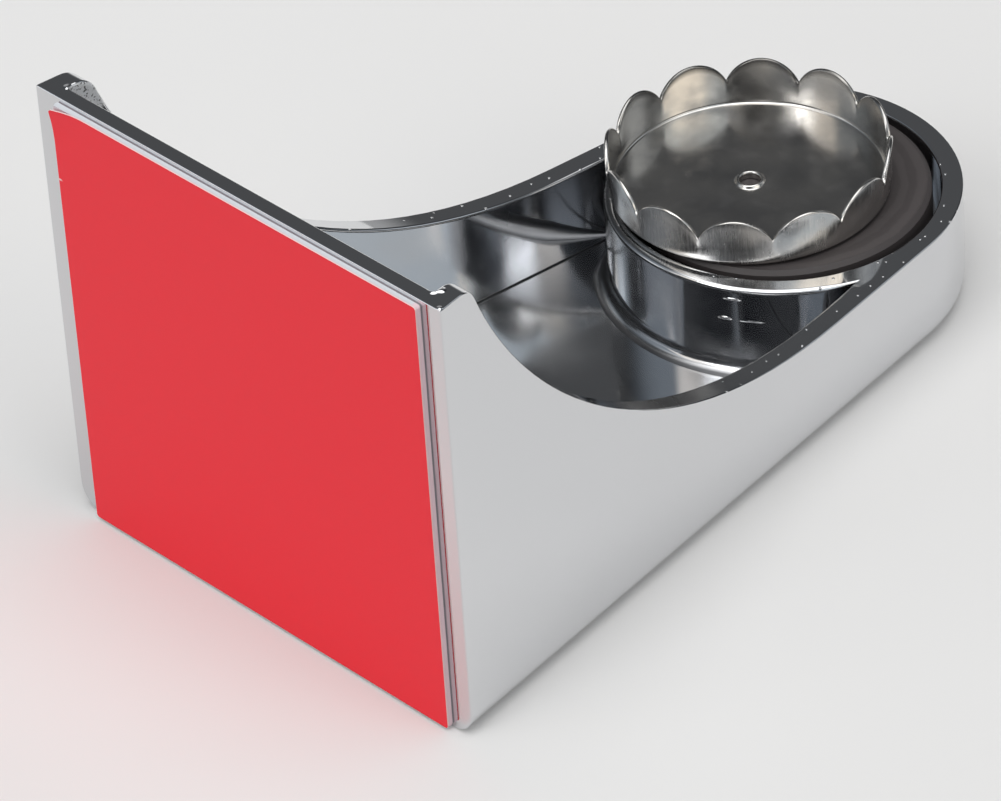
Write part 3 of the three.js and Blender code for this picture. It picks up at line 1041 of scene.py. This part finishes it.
    def close_back(self, skin: Skin, outer: Array, outer_normal: Array) -> None:
        """Adds the plate's outer face with its rounded border.

        Args:
            skin: The skin to add to.
            outer: The outer face's points.
            outer_normal: Their normals.
        """
        loop = np.concatenate([outer[:, 0], outer[::-1, -1]])
        start = np.concatenate([outer_normal[:, 0], outer_normal[::-1, -1]])
        radius = (self.back_round / (1 + start[:, 1]))[:, None]
        turned = turn_between(start, np.broadcast_to(BACK, start.shape), self.round_steps)
        rows = loop - radius * start + radius * turned
        skin.grid(rows, turned, wrap=True)
        skin.lid(rows[-1], BACK)

    def build(self) -> Piece:
        """Returns the dressed moulding."""
        mesh = self.skin().mesh("chrome_moulding", (0.0, PLATE_Y, 0.0))
        return show(mesh, ChromePlate().build(), Body.HOLDER, "holder_body")


@dataclass
class Magnet:
    """A ground ferrite disc with a small chamfer, turned about an upright axis. Lengths are millimetres."""

    radius: float = 13.9
    low: float = 5.7
    high: float = 11.7
    chamfer: float = 0.4
    columns: int = 128

    def build(self) -> Piece:
        """Turns the disc's section about its axis: lower chamfer, side, upper chamfer, and two flat lids.

        Returns:
            The dressed magnet.
        """
        spoke = lift(spokes(np.linspace(0.0, 2 * math.pi, self.columns, endpoint=False)), 0.0)
        small = self.radius - self.chamfer
        rows = [
            small * spoke + self.low * UP,
            self.radius * spoke + (self.low + self.chamfer) * UP,
            self.radius * spoke + (self.high - self.chamfer) * UP,
            small * spoke + self.high * UP,
        ]
        skin = Skin()
        for number, tilt in enumerate((-1.0, 0.0, 1.0)):
            skin.grid(np.stack(rows[number : number + 2]), unit(spoke + tilt * UP), wrap=True)
        skin.lid(rows[0], -UP)
        skin.lid(rows[-1], UP)
        mesh = skin.mesh("ferrite_disc", (*MAGNET_CENTRE, 0.0))
        return show(mesh, SinteredFerrite().build(), Body.HOLDER, "magnet")


@dataclass
class SoapCap:
    """The stamped cap: a closed sheet section swept round an upright axis, with its wall cut into petals.

    Each petal's top edge is an arc. Between petals the wall is lower by the notch, and the section's points
    above the bend come down and flare out by their share of the height. The lip's points are measured from
    its outer foot on the floor. Lengths are millimetres.
    """

    base: float = 11.75
    radius: float = 13.0
    sheet: float = 0.4
    height: float = 5.1
    bend: float = 0.3
    petals: int = 12
    notch: float = 2.3
    flare: float = 0.2
    turn: float = math.radians(8.2)
    hole: float = 0.95
    hole_clear: float = 0.05
    lip_width: float = 0.4
    lip_clear: float = 0.25
    lip_radius: tuple[float, ...] = (0.1, 0.02, -0.04, -0.12, -0.2, -0.28, -0.36, -0.4, -0.4, -0.39)
    lip_height: tuple[float, ...] = (0.01, 0.08, 0.2, 0.28, 0.3, 0.28, 0.2, 0.1, -0.36, -0.39)
    floor_steps: int = 12
    bend_steps: int = 7
    edge_steps: int = 9
    wall_steps: int = 6
    columns_each: int = 24
    # Painted shade on the cut edge: the angle where it is strongest, and its strength
    cut_shade_turn: float = math.radians(138.0)
    cut_shade: float = 0.8

    def section(self) -> Array:
        """Closed section of the sheet, from the hole outwards and back.

        It runs under the floor, round the bend, up the wall, over its round top edge, down the inside, back
        over the floor and over the rolled lip.

        Returns:
            Radius and height pairs.
        """
        edge = self.sheet / 2
        outer_bend = self.bend + self.sheet
        foot = np.array([self.radius - outer_bend, outer_bend])
        crest = self.hole + self.lip_width
        bending = np.linspace(-math.pi / 2, 0.0, self.bend_steps)
        rise = np.linspace(outer_bend, self.height - edge, self.wall_steps + 2)[1:-1]
        brow = np.array([self.radius - edge, self.height - edge])
        under = np.linspace(self.hole + self.hole_clear, foot[0], self.floor_steps)
        over = np.linspace(foot[0], crest + self.lip_clear, self.floor_steps)[1:]
        stretches = [
            pairs(under, 0.0),
            (foot + outer_bend * spokes(bending))[1:],
            pairs(self.radius, rise),
            brow + edge * spokes(np.linspace(0.0, math.pi, self.edge_steps)),
            pairs(self.radius - self.sheet, rise[::-1]),
            foot + self.bend * spokes(bending[::-1]),
            pairs(over, self.sheet),
            pairs(crest + np.array(self.lip_radius), self.sheet + np.array(self.lip_height)),
        ]
        return np.concatenate(stretches)

    def build(self) -> Piece:
        """Sweeps the section round the axis, lower towards each notch and wider towards the top.

        Returns:
            The dressed cap.
        """
        section = self.section()
        angle = np.linspace(0.0, 2 * math.pi, self.petals * self.columns_each, endpoint=False)
        half_petal = math.pi / self.petals
        within = (angle + half_petal) % (2 * half_petal) - half_petal
        chord = self.radius * math.sin(half_petal)
        arc = (chord**2 + self.notch**2) / (2 * self.notch)
        drop = arc - np.sqrt(arc**2 - (self.radius * np.sin(within)) ** 2)
        low = self.bend + self.sheet
        share = np.maximum(section[:, 1:] - low, 0.0) / (self.height - low)
        reach = section[:, :1] + self.flare * share**2
        across = angle + self.turn
        points = lift(reach[..., None] * spokes(across), section[:, 1:] - share * drop)
        along = np.roll(points, -1, axis=0) - np.roll(points, 1, axis=0)
        around = np.roll(points, -1, axis=1) - np.roll(points, 1, axis=1)
        normals = unit(np.cross(around, along))
        # Painted shade on the petals' top cut edge, strongest on the petals at the far side from the camera
        on_edge = (section[:, 1:] > self.height - self.sheet) & (section[:, :1] > self.radius - self.sheet)
        shade_and_dull = on_edge * self.cut_shade * np.clip(np.cos(across - self.cut_shade_turn), 0.0, 1.0)
        closed = [np.concatenate([rows, rows[:1]]) for rows in (points, normals, shade_and_dull)]
        skin = Skin()
        skin.grid(closed[0], closed[1], wrap=True, shade_and_dull=closed[2])
        mesh = skin.mesh("steel_soap_cap", (*CAP_CENTRE, self.base))
        return show(mesh, StampedSteel().build(), Body.CAP, "soap_cap")


@dataclass
class TapePad:
    """The foam pad and the red liner on it, both cut to one rounded rectangle. Lengths are millimetres."""

    left: float = -22.25
    right: float = 22.75
    low: float = 0.35
    high: float = 45.1
    corner: float = 0.3
    foam: float = 0.6
    film: float = 0.15
    bulge: float = 0.12
    peel: float = 0.48
    peel_reach: float = 4.2
    peel_limit: float = 1.5
    cut: float = 0.4
    cut_reach: float = 4.0
    rings: tuple[float, ...] = (1.0, 0.99, 0.97, 0.94, 0.9, 0.85, 0.78, 0.7, 0.6, 0.45, 0.3)
    side_points: int = 40
    corner_points: int = 6
    foam_rows: int = 7

    def outline(self) -> Pair:
        """Rounded rectangle in x and z, counterclockwise from the right side's foot.

        Returns:
            Points and outward normals, as x, z pairs.
        """
        span = np.linspace(0.0, 1.0, self.side_points)[:, None]
        quarter = np.linspace(0.0, math.pi / 2, self.corner_points + 2)[1:-1]
        right, left = self.right - self.corner, self.left + self.corner
        low, high = self.low + self.corner, self.high - self.corner
        corners = np.array([(right, low), (right, high), (left, high), (left, low)])
        points, normals = [], []
        for number, (corner, following) in enumerate(zip(corners, np.roll(corners, -1, axis=0))):
            angle = number * math.pi / 2
            side = corner + (following - corner) * span
            turned = spokes(angle + quarter)
            points += [side + self.corner * spokes(angle), following + self.corner * turned]
            normals += [np.broadcast_to(spokes(angle), side.shape), turned]
        return np.concatenate(points), np.concatenate(normals)

    def build_foam(self) -> Piece:
        """Carries the outline from plate to liner, with a cut edge that bulges by a sine between them.

        Returns:
            The dressed foam pad.
        """
        plan, normal = self.outline()
        share = np.linspace(0.0, 1.0, self.foam_rows)[:, None]
        bulge = self.bulge * (np.sin(math.pi * share) - 1.0)
        points = stand(plan + bulge[..., None] * normal, PLATE_Y - self.foam * share)
        skin = Skin()
        skin.grid(points, stand(normal, 0.0), wrap=True)
        skin.lid(points[0], -BACK)
        skin.lid(points[-1], BACK)
        mesh = skin.mesh("foam_pad")
        piece = show(mesh, ClosedCellFoam().build(), Body.HOLDER, "foam_tape")
        return piece

    def raised(self, flat: Array) -> Pair:
        """How far the film's loose corner stands off the foam, falling to nothing over the peel's reach.

        Args:
            flat: Places on the film, as x, z pairs.

        Returns:
            The lift, and its slopes along x and z.
        """
        apart = (flat[..., 0] - self.left) + (self.high - flat[..., 1])
        share = np.clip(1 - apart / self.peel_reach, 0.0, self.peel_limit)
        slope = -2 * self.peel * share / self.peel_reach
        return self.peel * share**2, pairs(slope, -slope)

    def build_liner(self) -> Piece:
        """Makes the red film: two faces of nested outlines, joined along the cut edge.

        Returns:
            The dressed liner.
        """
        plan, normal = self.outline()
        middle = np.array([(self.left + self.right) / 2, (self.low + self.high) / 2])
        flat = middle + (plan - middle) * np.array(self.rings)[:, None, None]
        across = np.clip(1 - (flat[..., 0] - self.left) / self.cut_reach, 0.0, 1.0)
        upward = np.clip(1 - (self.high - flat[..., 1]) / self.cut_reach, 0.0, 1.0)
        flat[..., 1] -= self.cut * across**2 * upward
        rise, slope = self.raised(flat)
        facing = unit(stand(-slope, -1.0))
        back = stand(flat, PLATE_Y - self.foam - rise)
        front = back + self.film * BACK
        skin = Skin()
        skin.grid(front, facing, wrap=True)
        skin.grid(back, -facing, wrap=True)
        # The cut edge gets the full corner weight, which this film turns into its own pale edge colour
        skin.grid(np.stack([back[0], front[0]]), stand(normal, 0.0), wrap=True, shade_and_dull=1.0)
        skin.lid(front[-1], BACK)
        skin.lid(back[-1], -BACK)
        mesh = skin.mesh("red_liner")
        piece = show(mesh, LinerFilm().build(), Body.LINER, "release_liner")
        return piece


# Studio


@dataclass(frozen=True)
class Panel:
    """One soft light of the studio: a stretch of the surrounding, in degrees, with soft borders.

    Azimuth 0 is -Y and 90 is +X. The light is full inside the first half width and gone at the second, and it
    rises between the first two elevations and fades between the last two, or reaches the zenith.
    """

    azimuth: float
    full: float
    gone: float
    rise: tuple[float, float]
    fade: tuple[float, float] | None
    strength: float
    colour: str = "#FFFFFF"

    def light(self, recipe: Recipe, level: Socket, height: Socket) -> Socket:
        """Adds the panel to the world.

        Args:
            recipe: The world in the making.
            level: The unit direction looked at, without its height.
            height: The sine of its elevation.

        Returns:
            The panel's shader.
        """
        turn = math.radians(self.azimuth)
        toward = (math.sin(turn), -math.cos(turn), 0.0)
        near = recipe.add("VectorMath", [level, toward], "Value", operation="DOT_PRODUCT")
        borders = [math.cos(math.radians(angle)) for angle in (self.gone, self.full)]
        strength = recipe.add("MapRange", [near, *borders, 0.0, self.strength])
        for heights, shares in ((self.rise, (0.0, 1.0)), (self.fade, (1.0, 0.0))):
            if heights:
                sines = [math.sin(math.radians(angle)) for angle in heights]
                mask = recipe.add("MapRange", [height, *sines, *shares])
                strength = recipe.add("Math", [strength, mask], operation="MULTIPLY")
        return recipe.add("Background", [linear(self.colour), strength])


@dataclass(frozen=True)
class Studio:
    """White table in a dim grey room with soft panels. The table's half width is in metres."""

    room: str = "#2E3033"
    table: str = "#E8E7E6"
    table_rough: float = 0.5
    table_glow: float = 0.04
    table_half: float = 3.0
    panels: tuple[Panel, ...] = (
        Panel(0, 179, 180, (56, 70), None, 1.95),
        Panel(75, 50, 110, (46, 60), None, 0.7),
        Panel(-2, 4, 14.5, (25, 37), (46, 60), 3.5),
        Panel(-24, 6, 15, (25, 37), (46, 60), 0.75, "#FFF3E4"),
        Panel(-30, 8, 62, (-4, -2), (44, 60), 0.3, "#DCE8F4"),
        Panel(93, 21, 36, (12, 26), (48, 62), 0.75, "#ECF7FF"),
        Panel(96, 10, 22, (18, 26), (33, 40), 1.2, "#FFEBD0"),
        Panel(152, 8, 20, (12, 26), (40, 52), 0.58, "#E6ECF2"),
        Panel(71.5, 1.5, 5.5, (22, 28), (36, 42), 0.5),
        Panel(57, 5, 11, (35.5, 37.5), (44, 48), 0.7),
        Panel(-5, 25, 55, (-4, -2), (18, 32), 1.15),
        Panel(0, 30, 70, (42, 52), (60, 72), 0.5),
        Panel(0, 179, 180, (-4, -2), (1, 10), 0.3),
        Panel(-125, 20, 52, (-4, -2), (60, 80), 0.056),
    )

    def build(self) -> None:
        """Makes the world, the table and the view settings."""
        scene = bpy.context.scene
        scene.view_settings.view_transform = "Standard"
        scene.world = bpy.data.worlds.new("studio")
        recipe = Recipe(scene.world)
        toward = recipe.add("TexCoord", out="Generated")
        flat = recipe.add("VectorMath", [toward, (1.0, 1.0, 0.0)], operation="MULTIPLY")
        level = recipe.add("VectorMath", [flat], operation="NORMALIZE")
        height = recipe.add("SeparateXYZ", [toward], "Z")
        total = recipe.add("Background", [linear(self.room), 1.0])
        for panel in self.panels:
            total = recipe.add("AddShader", [total, panel.light(recipe, level, height)])
        recipe.add("OutputWorld", [total])
        self.build_table()

    def build_table(self) -> None:
        """Makes the pale table top: one wide flat sheet that glows faintly to the camera and in mirrors."""
        corners = [(-1.0, -1.0), (1.0, -1.0), (1.0, 1.0), (-1.0, 1.0)]
        mesh = bpy.data.meshes.new("table_top")
        mesh.from_pydata(lift(self.table_half * np.array(corners), 0.0), [], [(0, 1, 2, 3)])
        table = bpy.data.objects.new("table_top", mesh)
        bpy.context.scene.collection.objects.link(table)
        recipe = Dressing("pale_table")
        cloth = recipe.add("BsdfDiffuse", [linear(self.table), self.table_rough])
        rays = recipe.add("LightPath").node.outputs
        seen = rays["Is Camera Ray"]
        for ray in ("Is Glossy Ray", "Is Transmission Ray"):
            seen = recipe.add("Math", [seen, rays[ray]], operation="ADD")
        strength = recipe.add("Math", [seen, self.table_glow], operation="MULTIPLY")
        glow = recipe.add("Emission", [linear("#FFFFFF"), strength])
        mesh.materials.append(recipe.close(recipe.add("AddShader", [cloth, glow])))


@dataclass(frozen=True)
class Camera:
    """The picture's viewpoint, fitted to the object's edges. Lengths are metres, angles degrees."""

    aim: tuple[float, float, float] = (-0.00110, -0.01093, 0.00653)
    azimuth: float = 47.850
    elevation: float = 36.898
    roll: float = -4.029
    distance: float = 0.646205
    lens_mm: float = 259.97
    clip_end: float = 20.0

    def build(self) -> Piece:
        """Aims the camera from its angles and distance.

        Returns:
            The scene's camera.
        """
        turn, rise, tilt = (math.radians(angle) for angle in (self.azimuth, self.elevation, self.roll))
        back = Vector((math.sin(turn) * math.cos(rise), -math.cos(turn) * math.cos(rise), math.sin(rise)))
        level = Vector((math.cos(turn), math.sin(turn), 0.0))
        right = math.cos(tilt) * level + math.sin(tilt) * back.cross(level)
        above = back.cross(right)
        data = bpy.data.cameras.new("camera")
        data.lens = self.lens_mm
        data.clip_end = self.clip_end
        camera = bpy.data.objects.new("camera", data)
        camera.matrix_world = Matrix((right, above, back)).transposed().to_4x4()
        camera.matrix_world.translation = Vector(self.aim) + self.distance * back
        bpy.context.scene.collection.objects.link(camera)
        bpy.context.scene.camera = camera
        return camera


def dress_glue() -> None:
    """Gives the hidden adhesive bed its material."""
    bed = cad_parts["magnet_glue"]
    bed.data.materials.clear()
    bed.data.materials.append(ClearAdhesive().build())


def main() -> None:
    """Builds the pieces, the studio and the camera."""
    logging.basicConfig(level=logging.INFO, format="%(message)s")
    HolderBody().build()
    Magnet().build()
    SoapCap().build()
    pad = TapePad()
    pad.build_foam()
    pad.build_liner()
    dress_glue()
    Studio().build()
    Camera().build()


if __name__ == "__main__":
    main()
